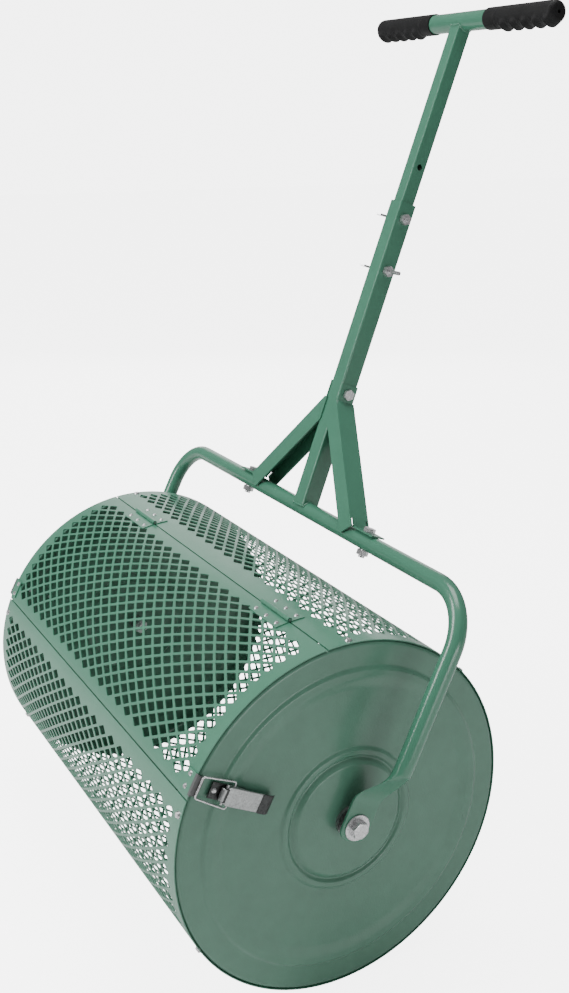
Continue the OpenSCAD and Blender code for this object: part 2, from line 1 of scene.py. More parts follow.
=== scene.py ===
"""Looks of the walk-behind compost spreader: pierced drum, bent yoke, T-handle, latches and studio."""
import json
import math

import bpy
import numpy as np
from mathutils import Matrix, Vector


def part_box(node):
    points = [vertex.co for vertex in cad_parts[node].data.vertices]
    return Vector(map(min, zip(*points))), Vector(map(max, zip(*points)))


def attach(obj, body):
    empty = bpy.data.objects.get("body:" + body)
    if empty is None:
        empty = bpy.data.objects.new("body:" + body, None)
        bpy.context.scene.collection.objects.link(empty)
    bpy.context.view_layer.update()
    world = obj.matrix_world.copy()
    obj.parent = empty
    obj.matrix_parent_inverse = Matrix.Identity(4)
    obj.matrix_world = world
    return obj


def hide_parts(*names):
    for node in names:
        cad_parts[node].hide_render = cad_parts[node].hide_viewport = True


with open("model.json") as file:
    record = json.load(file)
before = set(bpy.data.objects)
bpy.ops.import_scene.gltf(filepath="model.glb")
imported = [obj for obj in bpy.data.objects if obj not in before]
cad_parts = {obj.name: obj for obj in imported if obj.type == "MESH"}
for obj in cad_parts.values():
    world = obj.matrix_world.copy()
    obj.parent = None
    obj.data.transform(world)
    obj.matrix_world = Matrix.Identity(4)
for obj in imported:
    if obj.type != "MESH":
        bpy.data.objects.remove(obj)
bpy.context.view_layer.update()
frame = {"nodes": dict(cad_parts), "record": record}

bl_info = {
    "name": "Compost Spreader Looks",
    "version": (1, 0, 0),
    "blender": (4, 5, 0),
    "location": "3D View > Sidebar > Spreader",
    "description": "Builds the visible pieces and finishes of a walk-behind compost spreader",
    "category": "Object",
}

SIDES = {"right": 1.0, "left": -1.0}

# ---------------------------------------------------------------- places from the frame


def size(node):
    """The three sizes of a node's box, in metres."""
    low, high = (np.array(c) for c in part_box(node))
    return high - low


def joint(name):
    """A joint of the record, by name."""
    return next(j for j in frame["record"]["behaviour"]["joints"] if j["name"] == name)


def mount(name):
    """A mount of the record, by name."""
    return next(m for m in frame["record"]["mounts"] if m["name"] == name)


FLANGE_COVER = 0.0016  # from the disc's flange out to the shell's outside
FLANGE_DEPTH = 0.024  # from the flange's inner edge out to the disc's flat face
AXLE = np.array(joint("drum_spin")["pos_m"])
DRUM_R = float(size("end_disc_right")[2]) / 2 + FLANGE_COVER
SHELL_HALF = float(size("drum_shell")[0]) / 2
DISC_X = float(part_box("end_disc_right")[0][0]) + FLANGE_DEPTH
CROSSBAR = np.array(mount("crossbar_right")["pos_m"]) * np.array([0, 1, 1])
TEE = np.array(mount("t_bar_middle")["pos_m"]) * np.array([0, 1, 1])
YOKE_UP = (CROSSBAR - AXLE) / np.linalg.norm(CROSSBAR - AXLE)
YOKE_FRONT = np.array([0, -YOKE_UP[2], YOKE_UP[1]])
HANDLE_UP = (TEE - CROSSBAR) / np.linalg.norm(TEE - CROSSBAR)
HANDLE_FRONT = np.array([0, -HANDLE_UP[2], HANDLE_UP[1]])
ACROSS = np.array([1.0, 0, 0])


class SpreaderSizes(bpy.types.PropertyGroup):
    """Sizes of the visible detail."""
    hole_long: bpy.props.FloatProperty(
        name="Hole pitch along", description="Distance between holes along the axle",
        default=0.02787, min=0.02, max=0.04, subtype="DISTANCE", unit="LENGTH")
    hole_share: bpy.props.FloatProperty(
        name="Hole share", description="Width of a hole as a share of its pitch",
        default=0.775, min=0.5, max=0.9, subtype="FACTOR")
    sheet: bpy.props.FloatProperty(
        name="Sheet", description="Thickness of the pierced sheet",
        default=0.0012, min=0.0008, max=0.002, subtype="DISTANCE", unit="LENGTH")
    bead: bpy.props.FloatProperty(
        name="Bead", description="Height of the discs' pressed beads",
        default=0.003, min=0.001, max=0.003, subtype="DISTANCE", unit="LENGTH")
    weld: bpy.props.FloatProperty(
        name="Weld", description="Radius of the weld beads",
        default=0.0016, min=0.001, max=0.003, subtype="DISTANCE", unit="LENGTH")


class SpreaderFinish(bpy.types.PropertyGroup):
    """Colours of the finishes."""
    green: bpy.props.FloatVectorProperty(
        name="Green", description="Powder coat on the drum and the tubes", subtype="COLOR",
        default=(0.065, 0.215, 0.137), min=0, max=1)
    deep_green: bpy.props.FloatVectorProperty(
        name="Disc green", description="Powder coat on the pressed discs", subtype="COLOR",
        default=(0.075, 0.19, 0.13), min=0, max=1)
    zinc: bpy.props.FloatVectorProperty(
        name="Zinc", description="Bright plated hardware", subtype="COLOR",
        default=(0.62, 0.62, 0.63), min=0, max=1)
    steel: bpy.props.FloatVectorProperty(
        name="Latch steel", description="Dull plated latch parts", subtype="COLOR",
        default=(0.28, 0.29, 0.29), min=0, max=1)
    rubber: bpy.props.FloatVectorProperty(
        name="Rubber", description="Moulded grips", subtype="COLOR",
        default=(0.0042, 0.0042, 0.0046), min=0, max=1)


def sizes():
    """The scene's sizes."""
    return bpy.context.scene.spreader_sizes


def finish():
    """The scene's colours."""
    return bpy.context.scene.spreader_finish


# ---------------------------------------------------------------- meshes

def piece(name, points, faces, material, body, slot, replaces=(), angle=35):
    """Makes an object from points and faces (each an array of triangles or quads), shades it
    smooth with edges sharper than angle degrees kept, and lets it ride on a body."""
    mesh = bpy.data.meshes.new(name)
    mesh.from_pydata(np.asarray(points, float).tolist(), [],
                     [row for block in faces for row in np.asarray(block).tolist()])
    mesh.validate()
    mesh.polygons.foreach_set("use_smooth", np.ones(len(mesh.polygons), bool))
    mesh.set_sharp_from_angle(angle=math.radians(angle))
    mesh.materials.append(material)
    mesh.update()
    obj = bpy.data.objects.new(name, mesh)
    bpy.context.scene.collection.objects.link(obj)
    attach(obj, body)
    if replaces:
        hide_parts(*replaces)
    return obj


def turns(count):
    """That many even turns round a circle, in radians."""
    return np.arange(count) * 2 * math.pi / count


def sheet_faces(rows, columns, first=0, closed_rows=False, closed_columns=False):
    """Quads of a grid of rows x columns points that are stored row by row."""
    i = np.arange(rows if closed_rows else rows - 1)[:, None]
    j = np.arange(columns if closed_columns else columns - 1)[None, :]
    a, b = i * columns + j, i * columns + (j + 1) % columns
    c, d = (i + 1) % rows * columns + (j + 1) % columns, (i + 1) % rows * columns + j
    return np.stack([a + 0 * b, b, c, d], -1).reshape(-1, 4) + first


def fan(centre, ring, flip=False):
    """Triangles from one point to a closed ring of points."""
    ring = np.asarray(ring)
    other = np.roll(ring, -1)
    pair = (other, ring) if flip else (ring, other)
    return np.stack([np.full(len(ring), centre), *pair], -1)


def join(parts):
    """Puts several (points, [faces]) together as one."""
    points, faces, count = [], [], 0
    for p, f in parts:
        points.append(np.asarray(p))
        faces += [np.asarray(block) + count for block in f]
        count += len(p)
    return np.concatenate(points), faces


def swept(rings):
    """Skin over rings of points, shape (rings, points, 3), closed with a fan at both ends. Its faces
    point outwards when each ring runs right-handed about the way from the first ring to the last."""
    rings = np.asarray(rings)
    n, m = rings.shape[:2]
    points = np.concatenate([rings.reshape(-1, 3), rings[0].mean(0)[None], rings[-1].mean(0)[None]])
    return points, [sheet_faces(n, m, closed_columns=True), fan(n * m, np.arange(m), True),
                    fan(n * m + 1, (n - 1) * m + np.arange(m))]


def spokes(axis, start, count):
    """Directions round an axis: the one at turn t is cos t * start + sin t * axis x start."""
    t = turns(count)[:, None]
    return np.cos(t) * start + np.sin(t) * np.cross(axis, start)


def spun(outline, origin, axis, start, count):
    """A ring of points for each (radius, along) pair of an outline, round the axis from origin."""
    outline = np.asarray(outline, float)
    spoke = spokes(axis, start, count)
    return origin + outline[:, 1, None, None] * axis + outline[:, 0, None, None] * spoke


def turned(outline, origin, axis, start, count):
    """Body of revolution. The outline starts and ends near the axis and runs along it."""
    return swept(spun(outline, origin, axis, start, count))


def ring_turned(outline, origin, axis, start, count):
    """As turned(), but the outline is a closed loop round a hole, so nothing is capped. The loop
    runs outwards over the face and back underneath."""
    rings = spun(outline, origin, axis, start, count)
    n, m = rings.shape[:2]
    return rings.reshape(-1, 3), [sheet_faces(n, m, closed_rows=True, closed_columns=True)[:, ::-1]]


def smooth_step(x):
    """0 below 0, 1 above 1 and a smooth rise between."""
    x = np.clip(x, 0, 1)
    return x * x * (3 - 2 * x)


def mirrored(points, faces, side):
    """The same piece on the other side of X = 0, with its faces turned round again."""
    if side > 0:
        return points, faces
    return np.asarray(points) * [-1, 1, 1], [np.asarray(f)[:, ::-1] for f in faces]


# ---------------------------------------------------------------- materials

class Sock:
    """Wraps a socket so that shader maths reads as Python: each operator adds a Math node."""

    def __init__(self, tree, socket):
        self.tree, self.socket = tree, socket

    def math(self, operation, *others):
        """Adds a Math node and gives its result."""
        node = self.tree.nodes.new("ShaderNodeMath")
        node.operation = operation
        for slot, value in zip(node.inputs, others):
            if isinstance(value, Sock):
                self.tree.links.new(value.socket, slot)
            else:
                slot.default_value = value
        return Sock(self.tree, node.outputs[0])

    def __add__(self, other): return self.math("ADD", self, other)
    def __radd__(self, other): return self.math("ADD", other, self)
    def __sub__(self, other): return self.math("SUBTRACT", self, other)
    def __rsub__(self, other): return self.math("SUBTRACT", other, self)
    def __mul__(self, other): return self.math("MULTIPLY", self, other)
    def __rmul__(self, other): return self.math("MULTIPLY", other, self)

    def between(self, low, high):
        """0 below low, 1 above high and a straight ramp between."""
        out = (self - low) * (1 / (high - low))
        out.socket.node.use_clamp = True
        return out


class Finish:
    """One material with a Principled shader, and the few calls that the finishes need."""

    def __init__(self, name, **constants):
        self.material = bpy.data.materials.new(name)
        self.material.use_nodes = True
        self.tree = self.material.node_tree
        self.shader = next(n for n in self.tree.nodes if n.type == "BSDF_PRINCIPLED")
        for key, value in constants.items():
            self.shader.inputs[key.replace("_", " ")].default_value = value
        self.place = self.node("ShaderNodeTexCoord").outputs["Object"]

    def node(self, kind, settings=None, **values):
        """Adds a node: its settings first, then a value or a link for each named socket."""
        node = self.tree.nodes.new(kind)
        for key, value in (settings or {}).items():
            setattr(node, key, value)
        for key, value in values.items():
            slot = node.inputs[key.replace("_", " ")]
            if isinstance(value, Sock):
                self.tree.links.new(value.socket, slot)
            elif isinstance(value, bpy.types.NodeSocket):
                self.tree.links.new(value, slot)
            else:
                slot.default_value = value
        return node

    def noise(self, scale, detail=3.0, roughness=0.5, stretch=None):
        """Noise of about 0 to 1 with features 1 / scale metres across."""
        place = self.place
        if stretch:
            place = self.node("ShaderNodeMapping", Vector=place, Scale=stretch).outputs[0]
        return Sock(self.tree, self.node("ShaderNodeTexNoise", Vector=place, Scale=scale,
                                         Detail=detail, Roughness=roughness).outputs["Fac"])

    def cells(self, scale):
        """A random grey for each cell of a Voronoi pattern."""
        node = self.node("ShaderNodeTexVoronoi", Vector=self.place, Scale=scale)
        split = self.node("ShaderNodeSeparateColor", Color=node.outputs["Color"])
        return Sock(self.tree, split.outputs[0])

    def mix(self, share, low, high):
        """A colour share of the way from low to high."""
        node = self.tree.nodes.new("ShaderNodeMix")
        node.data_type = "RGBA"
        self.tree.links.new(share.socket, node.inputs[0])
        for slot, colour in ((node.inputs[6], low), (node.inputs[7], high)):
            if isinstance(colour, bpy.types.NodeSocket):
                self.tree.links.new(colour, slot)
            else:
                slot.default_value = (*colour[:3], 1)
        return node.outputs[2]

    def feed(self, name, value):
        """Links a value to one of the shader's sockets."""
        self.tree.links.new(value.socket if isinstance(value, Sock) else value,
                            self.shader.inputs[name])

    def bump(self, height, distance):
        """Raises the surface by a height of 0 to 1 times a distance in metres."""
        node = self.node("ShaderNodeBump", Height=height, Distance=distance, Strength=1.0)
        self.feed("Normal", node.outputs[0])


def shade(colour, by):
    """A colour made lighter or darker."""
    return tuple(min(1.0, c * by) for c in colour)


def powder_coat(name, colour, roughness=0.42, mottle=0.09):
    """Satin powder coat: slow colour drift, orange-peel bump, and a slightly uneven gloss."""
    f = Finish(name, Coat_Weight=0.25, Coat_Roughness=0.16)
    drift = f.noise(9, 4, 0.55) * 0.65 + f.noise(60, 3) * 0.35
    f.feed("Base Color", f.mix(drift.between(0.3, 0.7), shade(colour, 1 - mottle),
                               shade(colour, 1 + mottle)))
    peel = f.noise(420, 2, 0.5)
    f.feed("Roughness", roughness - 0.07 + 0.14 * f.noise(35, 3))
    f.bump(peel, 0.00012)
    return f.material


def plated(name, colour, roughness=0.3, grain=0.16):
    """Zinc plate: small spangle cells, fine scratches and dull patches."""
    f = Finish(name, Metallic=0.92)
    spangle = f.cells(650) * 0.5 + f.noise(240, 4) * 0.5
    f.feed("Base Color", f.mix(spangle.between(0.2, 0.8), shade(colour, 1 - grain),
                               shade(colour, 1 + grain)))
    f.feed("Roughness", roughness - 0.06 + 0.16 * f.noise(180, 4, 0.6, (1, 6, 1)))
    f.bump(f.noise(900, 3, 0.6, (1, 8, 1)), 0.00006)
    return f.material


def moulded_rubber(name, colour):
    """Matt black rubber: fine pebble grain and a dusty bloom."""
    f = Finish(name, Specular_IOR_Level=0.25)
    bloom = f.noise(40, 4)
    f.feed("Base Color", f.mix(bloom.between(0.35, 0.75), colour, shade(colour, 2.1)))
    f.feed("Roughness", 0.5 + 0.2 * f.noise(90, 3))
    f.bump(f.noise(1400, 2), 0.00015)
    return f.material


def catch_finish(coat, bare_steel_and_shade):
    """The catch: powder coated where it lies on the door, uncoated dark steel past the drum's end, partly
    its own dark steel and partly painted shade, with a soft ragged line between them."""
    f = Finish("catch coat and shaded steel", Roughness=0.4)
    x = Sock(f.tree, f.node("ShaderNodeSeparateXYZ", Vector=f.place).outputs[0])
    past = x.math("ABSOLUTE", x) + 0.0006 * f.noise(900)
    # past the drum's end the colour is the dark steel, partly painted shade
    f.feed("Base Color", f.mix(past.between(DISC_X - 0.0018, DISC_X - 0.0008), coat, bare_steel_and_shade))
    f.bump(f.noise(420, 2), 0.00012)
    return f.material


_made = {}


def material(kind):
    """Each finish is made once and shared."""
    if kind not in _made:
        look = finish()
        green, deep = tuple(look.green), tuple(look.deep_green)
        _made[kind] = {
            "sheet": lambda: powder_coat("sage sheet coat", green, 0.36, 0.06),
            "tube": lambda: powder_coat("sage tube coat", shade(green, 0.9), 0.24, 0.07),
            "disc": lambda: powder_coat("sage disc coat", deep, 0.32, 0.12),
            # the seam strips' coat: the green at three tenths, painted shade for the dark seen through the
            # seams
            "inside": lambda: powder_coat("backing strip painted shade coat", shade(green, 0.3), 0.6, 0.1),
            # the catch's steel at three tenths of the latch steel: partly its own dark steel, partly
            # painted shade
            "catch": lambda: catch_finish(green, shade(tuple(look.steel), 0.3)),
            "zinc": lambda: plated("bright zinc", tuple(look.zinc), 0.26, 0.22),
            "steel": lambda: plated("dull latch steel", tuple(look.steel), 0.38, 0.25),
            "lever": lambda: plated("latch lever plate", shade(tuple(look.steel), 1.35), 0.34, 0.22),
            # the dark plate: on the latch bases a painted shade for the hollow inside the bails, and also
            # the lever tips' dark plate
            "dark": lambda: plated("dark latch plate and painted shade", shade(tuple(look.steel), 0.22), 0.42, 0.3),
            "rubber": lambda: moulded_rubber("grip rubber", tuple(look.rubber)),
        }[kind]()
    return _made[kind]


# ---------------------------------------------------------------- drum

# Rows of holes in each sheet: degrees from the top to the first row and to the last, how many steps
# lie between them, and whether the first row's holes stand on even (0) or odd (1) half pitches.
ROWS = {"shell": (74.5, 357.74, 124, 0), "door": (12.6, 62.7, 22, 1)}
COLUMNS = 20  # holes stand at -20 ... 20 half pitches along
SEAM_GAP = 0.0019  # the open line between the door and the shell
SEAM_CENTRE = 0.14  # degrees from the CAD door's edge to the middle of its seam
STRIP_HALF = 0.278  # half the length of a seam's backing strip, whose dark coat is painted shade


def on_drum(x, arc, rise):
    """The point at x along the axle, arc metres round from the top towards the door's side, and
    rise above the sheet's outside: it stands at angle arc / R from the top."""
    a = arc / DRUM_R
    r = DRUM_R + rise
    return np.stack([x, AXLE[1] - r * np.sin(a), AXLE[2] + r * np.cos(a)], -1)


def pierced(start, stop, first, last, rows, parity, thick):
    """A rolled sheet with a diamond mesh. The plane is tiled with diamonds whose centres stand at
    (i, j) half pitches with i + j of one parity, and each holds an eight-sided hole. Their tips
    leave a zigzag outline, and strips fill it up to a straight line and go on to the sheet's edges."""
    s = sizes()
    dx, hole = s.hole_long / 2, s.hole_share
    arc0, dv = math.radians(first) * DRUM_R, math.radians(last - first) * DRUM_R / rows
    i, j = np.meshgrid(np.arange(-COLUMNS, COLUMNS + 1), np.arange(rows + 1), indexing="ij")
    centre = ((i + j) % 2 == parity)
    ci, cj = i[centre], j[centre]
    corner = np.array([[1, 0], [0, 1], [-1, 0], [0, -1]])
    # eight points of the hole: each corner of the diamond is cut off
    cut = 0.09
    hole_uv = hole * np.concatenate([[(1 - cut) * corner[k] + cut * corner[k - 1],
                                      (1 - cut) * corner[k] + cut * corner[(k + 1) % 4]]
                                     for k in range(4)])
    cells = len(ci)
    plane = np.stack([ci, cj], -1)[:, None, :]
    outer = (plane + corner).astype(float)  # cells x 4 x 2
    inner = plane + hole_uv  # cells x 8 x 2
    uv = np.concatenate([outer, inner], 1).reshape(-1, 2)  # 12 points a cell
    base = np.arange(cells)[:, None] * 12
    quads, triangles = [], []
    for k in range(4):
        n = (k + 1) % 4
        a, b = 4 + 2 * k, 4 + 2 * k + 1
        quads.append(base + np.array([k, n, 4 + 2 * n, b]))
        triangles.append(base + np.array([k, b, a]))
    quads, triangles = np.concatenate(quads), np.concatenate(triangles)

    # border: from the zigzag outline of the field to a straight line, then strips to the edge
    edge_x = SHELL_HALF / dx
    edge_lo = (math.radians(start) * DRUM_R - arc0) / dv
    edge_hi = (math.radians(stop) * DRUM_R - arc0) / dv
    u, v = np.arange(-COLUMNS, COLUMNS + 1.0), np.arange(rows + 1.0)
    patches, tips = [], []

    def outline(along, at, outward):
        """The field's edge steps between at and at + outward, where a diamond's tip stands out."""
        return np.where((along + at) % 2 == parity, at + outward, at)

    def strip(near, far):
        """Quads between two lines of points."""
        patches.append(np.stack([near[:-1], near[1:], far[1:], far[:-1]], 1))

    corners = {}
    for at, outward, edge in ((0, -1, edge_lo), (rows, 1, edge_hi)):
        line = at + 1.3 * outward
        zigzag = np.stack([u, outline(u, at, outward)], -1)
        strip(zigzag, np.stack([u, line + 0 * u], -1))
        wide = np.concatenate([[-edge_x], u, [edge_x]])
        levels = np.linspace(line, edge, 5)
        for near, far in zip(levels[:-1], levels[1:]):
            strip(np.stack([wide, near + 0 * wide], -1), np.stack([wide, far + 0 * wide], -1))
        corners[at] = (line, zigzag)
    for at, outward, edge in ((-COLUMNS, -1, -edge_x), (COLUMNS, 1, edge_x)):
        zigzag = np.stack([outline(v, at, outward), v], -1)
        strip(zigzag, np.stack([edge + 0 * v, v], -1))
        for row, (line, other) in corners.items():
            side, end = zigzag[0 if row == 0 else -1], other[0 if at < 0 else -1]
            patches.append(np.array([[end, [at, line], [edge, line], [edge, row]]], float))
            if np.abs(side - end).max() > 0.5:
                tips.append([side, end, [edge, row]])
    flat = np.concatenate(patches)
    tips = np.array(tips, float).reshape(-1, 3, 2)

    def wound(polygons):
        """Turns each polygon the way round that makes its area positive."""
        following = np.roll(polygons, -1, 1)
        area = (polygons[..., 0] * following[..., 1] - polygons[..., 1] * following[..., 0]).sum(1)
        return np.where((area > 0)[:, None, None], polygons, polygons[:, ::-1])

    border = np.arange(len(flat) * 4).reshape(-1, 4) + len(uv)
    tip_faces = np.arange(len(tips) * 3).reshape(-1, 3) + len(uv) + len(flat) * 4
    uv = np.concatenate([uv, wound(flat).reshape(-1, 2), wound(tips).reshape(-1, 2)])
    triangles = np.concatenate([triangles, tip_faces])

    # weld the plane's points, then lay them on the cylinder twice: a face whose area is positive on
    # the plane points at the axle, so the inside takes the faces as they are and the outside turned
    key = np.round(uv * 4096).astype(np.int64)
    _, keep, back = np.unique(key, axis=0, return_index=True, return_inverse=True)
    back = back.reshape(-1)
    uv = uv[keep]
    quads, triangles, border = back[quads], back[triangles], back[border]
    n = len(uv)
    inside, outside = (on_drum(uv[:, 0] * dx, arc0 + uv[:, 1] * dv, rise) for rise in (-thick, 0.0))
    # walls of the holes and of the sheet's edges: they stand on edges that only one face uses
    face_edges = np.concatenate([np.stack([f, np.roll(f, -1, 1)], -1).reshape(-1, 2)
                                 for f in (quads, triangles, border)])
    code = face_edges[:, 0].astype(np.int64) * n + face_edges[:, 1]
    other = face_edges[:, 1].astype(np.int64) * n + face_edges[:, 0]
    open_edges = face_edges[~np.isin(code, other)]
    a, b = open_edges.T
    faces = [quads, border, triangles]
    faces += [f[:, ::-1] + n for f in faces] + [np.stack([b, a, a + n, b + n], -1)]
    return np.concatenate([inside, outside]), faces


class SPREADER_OT_drum(bpy.types.Operator):
    """Pierced shell and door: rolled sheet with a diamond mesh of real holes"""
    bl_idname = "spreader.drum"
    bl_label = "Pierced shell and door"

    def execute(self, context):
        hinge, latch = (seam_angle(n) for n in ("hinge", "latch"))
        gap = math.degrees(SEAM_GAP / 2 / DRUM_R)
        thick = sizes().sheet
        for kind, node, body, start, stop in (
                ("shell", "drum_shell", "drum", latch + gap, 360 + hinge - gap),
                ("door", "door_panel", "door", hinge + gap, latch - gap)):
            points, faces = pierced(start, stop, *ROWS[kind], thick)
            piece("pierced_" + kind, points, faces, material("sheet"), body, "perforated_sheet", (node,))
        strips = [seam_shade_strip(math.radians(a), thick) for a in (hinge, latch)]
        # the strips behind the seams are coated dark as painted shade
        piece("seam_shade_strips", *join(strips), material("inside"), "drum", "perforated_sheet")
        return {"FINISHED"}


def seam_shade_strip(angle, thick):
    """A backing strip behind a seam: 7 mm of arc to each side, 0.3 to 1.1 mm inside the sheet,
    carried along the axle. Its dark coat is painted shade for the gap of the seam."""
    arc = angle * DRUM_R + np.linspace(-0.007, 0.007, 7)
    rise = -thick - np.array([0.0003, 0.0011])
    loop_arc = np.concatenate([arc, arc[::-1]])
    loop_rise = np.repeat(rise, len(arc))
    x = np.linspace(-STRIP_HALF, STRIP_HALF, 9)
    return swept([on_drum(at + 0 * loop_arc, loop_arc, loop_rise) for at in x])


def seam_angle(which):
    """The seam's angle from the top, from the door panel's box: the latch seam lies past the box's
    lowest point and the hinge seam before the point that is highest in Y."""
    low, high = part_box("door_panel")
    inner = DRUM_R - sizes().sheet
    if which == "latch":
        return math.degrees(math.acos((low[2] - AXLE[2]) / inner)) + SEAM_CENTRE
    return math.degrees(math.asin((AXLE[1] - high[1]) / inner)) - SEAM_CENTRE


def disc_face(radius):
    """How far the disc's outside stands along the axle at each radius: flat, then a bead that is
    steep outside 176 mm and falls slowly to 154 mm, and nearer the middle a raised ring at 80 mm, a
    shallow groove inside it, and a middle that stands 5 mm proud."""
    bead = sizes().bead
    outer = bead * smooth_step((0.1815 - radius) / 0.006) * smooth_step((radius - 0.154) / 0.0165)
    ring = 0.003 * smooth_step((0.0066 - np.abs(radius - 0.0795)) / 0.0046)
    middle_up = 0.005 * smooth_step((0.0735 - radius) / 0.0085)
    return outer + ring + middle_up


def disc_outline():
    """Closed (radius, along) loop of the pressed disc: face, rolled corner, inward flange, then
    the same again one sheet's thickness t inside."""
    t, bend, flange = 0.0015, 0.005, 0.022
    rim = DRUM_R - FLANGE_COVER
    r = np.concatenate([[0.009, 0.03, 0.055], np.linspace(0.062, 0.088, 30), [0.1, 0.13],
                        np.linspace(0.152, 0.183, 30), np.linspace(0.188, rim - bend, 4)])
    face = np.stack([r, disc_face(r)], -1)
    a = np.linspace(0, math.pi / 2, 8)[1:]
    corner = np.stack([rim - bend + bend * np.sin(a), bend * np.cos(a) - bend], -1)
    lip = np.array([[rim, -0.012], [rim, -flange]])
    outside = np.concatenate([face, corner, lip])
    slope = np.gradient(outside, axis=0)
    normal = np.stack([-slope[:, 1], slope[:, 0]], -1)
    normal /= np.linalg.norm(normal, axis=1)[:, None]
    inside = outside - normal * t
    inside[0] = [r[0], outside[0, 1] - t]
    inside[-1] = [rim - t, -flange]
    return np.concatenate([outside, inside[::-1]])


def drain_dent(points):
    """Presses a small round dent into the bead: every point sinks along the axle by a Gaussian of
    its distance from the dent's middle."""
    turn, radius, deep, wide = math.radians(-106), 0.1706, 0.0026, 0.0034
    spot = np.array([radius * -math.sin(turn), radius * math.cos(turn)]) + AXLE[1:]
    gap = ((points[:, 1:] - spot) ** 2).sum(1)
    sunk = points.copy()
    sunk[:, 0] -= deep * np.exp(-gap / wide ** 2)
    return sunk


class SPREADER_OT_discs(bpy.types.Operator):
    """Pressed end discs with their beads, rolled rims and flanges"""
    bl_idname = "spreader.discs"
    bl_label = "Pressed end discs"

    def execute(self, context):
        for side, sign in SIDES.items():
            points, faces = ring_turned(disc_outline(), AXLE + [DISC_X, 0, 0], ACROSS,
                                        np.array([0, 0, 1.0]), 336)
            points, faces = mirrored(drain_dent(points), faces, sign)
            piece("pressed_disc_" + side, points, faces, material("disc"), "drum", "pressed_disc",
                  ("end_disc_" + side,), 50)
        return {"FINISHED"}


# ---------------------------------------------------------------- yoke

ARM_X, ARM_BEND = 0.36, 0.06  # the arms' centre lines from the middle, and the bends' radius
KINK, JOGGLE = 0.082, 0.056  # height above the axle where the palm starts, and its joggle's length
PALM_HALF, PALM_THICK = 0.019, 0.002  # half-sizes of the palm's section
PALM_FOOT, PALM_ROUND = -0.004, 0.0129  # where the palm's end starts to round off, and how far


def flat_round(t, wide, thick, power):
    """A closed section: a superellipse of half-sizes wide and thick at turn t."""
    return [half * np.sign(c) * np.abs(c) ** (2 / power)
            for half, c in ((wide, np.cos(t)), (thick, np.sin(t)))]


def yoke_half(tube_r, reach, palm_x):
    """Centre line of half the yoke from its middle to a palm's end, as (x, up, inward normal x,
    inward normal up, wide, thick, power) rows. The tube is round to the kink, then flattens into
    the palm while it joggles in; the palm's end is rounded off."""
    arm, bend = ARM_X, ARM_BEND
    rows = [(x, reach, 0, -1, tube_r, tube_r, 2) for x in np.linspace(0, arm - bend, 12)]
    for a in np.linspace(0, math.pi / 2, 15)[1:]:
        rows.append((arm - bend + bend * math.sin(a), reach - bend + bend * math.cos(a),
                     -math.sin(a), -math.cos(a), tube_r, tube_r, 2))
    rows += [(arm, z, -1, 0, tube_r, tube_r, 2) for z in np.linspace(reach - bend, KINK, 9)[1:]]
    for f in np.linspace(0, 1, 15)[1:]:
        step = float(smooth_step(f))
        z = KINK - JOGGLE * f
        x = arm + (palm_x - arm) * step
        slope = (palm_x - arm) * 6 * f * (1 - f) / JOGGLE
        n = np.array([-1, slope]) / math.hypot(1, slope)
        flat = float(smooth_step(f * 1.15))
        rows.append((x, z, n[0], n[1], tube_r + (PALM_HALF - tube_r) * flat,
                     tube_r + (PALM_THICK - tube_r) * flat, 2 + 7 * flat))
    for z in np.linspace(0.022, PALM_FOOT, 5):
        rows.append((palm_x, z, -1, 0, PALM_HALF, PALM_THICK, 9))
    for a in np.linspace(0, math.pi / 2, 9)[1:]:
        rows.append((palm_x, PALM_FOOT - PALM_ROUND * math.sin(a), -1, 0,
                     PALM_HALF - 0.012 * (1 - math.cos(a)), PALM_THICK, 9))
    return np.array(rows, float)


class SPREADER_OT_yoke(bpy.types.Operator):
    """Bent yoke tube with its flattened, joggled palms, swept as one skin"""
    bl_idname = "spreader.yoke"
    bl_label = "Bent yoke"

    def execute(self, context):
        reach = float(np.linalg.norm(CROSSBAR - AXLE))
        tube_r = float(size("yoke_tube")[0]) / 2 - ARM_X
        palm_x = float(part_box("axle_washers")[1][0]) - WASHER_THICK - PALM_THICK
        half = yoke_half(tube_r, reach, palm_x)
        left = half[:0:-1] * [-1, 1, -1, 1, 1, 1, 1]
        rows = np.concatenate([left, half])
        t = turns(48)
        rings = []
        for x, z, nx, nz, wide, thick, power in rows:
            w, h = flat_round(t, wide, thick, power)
            inward = ACROSS * nx + YOKE_UP * nz
            rings.append(AXLE + ACROSS * x + YOKE_UP * z + w[:, None] * YOKE_FRONT + h[:, None] * inward)
        points, faces = swept(rings)
        piece("bent_yoke", points, faces, material("tube"), "frame", "green_frame", ("yoke_tube",), 50)
        return {"FINISHED"}


# ---------------------------------------------------------------- handle

LOWER_POST, UPPER_POST = 0.025, 0.020  # widths of the handle's square tubes
CROSSBAR_R = 0.0105  # the crossbar's radius


def bead_along(line, radius, wobble=0.18, count=10):
    """A weld bead: a closed round section carried along a closed line, with a small regular
    ripple, radius * (1 + wobble * cos) every third point."""
    line = np.asarray(line, float)
    ahead = np.roll(line, -1, 0) - np.roll(line, 1, 0)
    ahead /= np.linalg.norm(ahead, axis=1)[:, None]
    centre = line.mean(0)
    out = line - centre
    out -= (out * ahead).sum(1)[:, None] * ahead
    out /= np.linalg.norm(out, axis=1)[:, None]
    up = np.cross(ahead, out)
    t = turns(count)
    r = radius * (1 + wobble * np.cos(np.arange(len(line)) * 2 * math.pi / 3))
    rings = line[:, None] + r[:, None, None] * (np.cos(t)[None, :, None] * out[:, None]
                                                + np.sin(t)[None, :, None] * up[:, None])
    n, m = rings.shape[:2]
    return rings.reshape(-1, 3), [sheet_faces(n, m, closed_rows=True, closed_columns=True)]


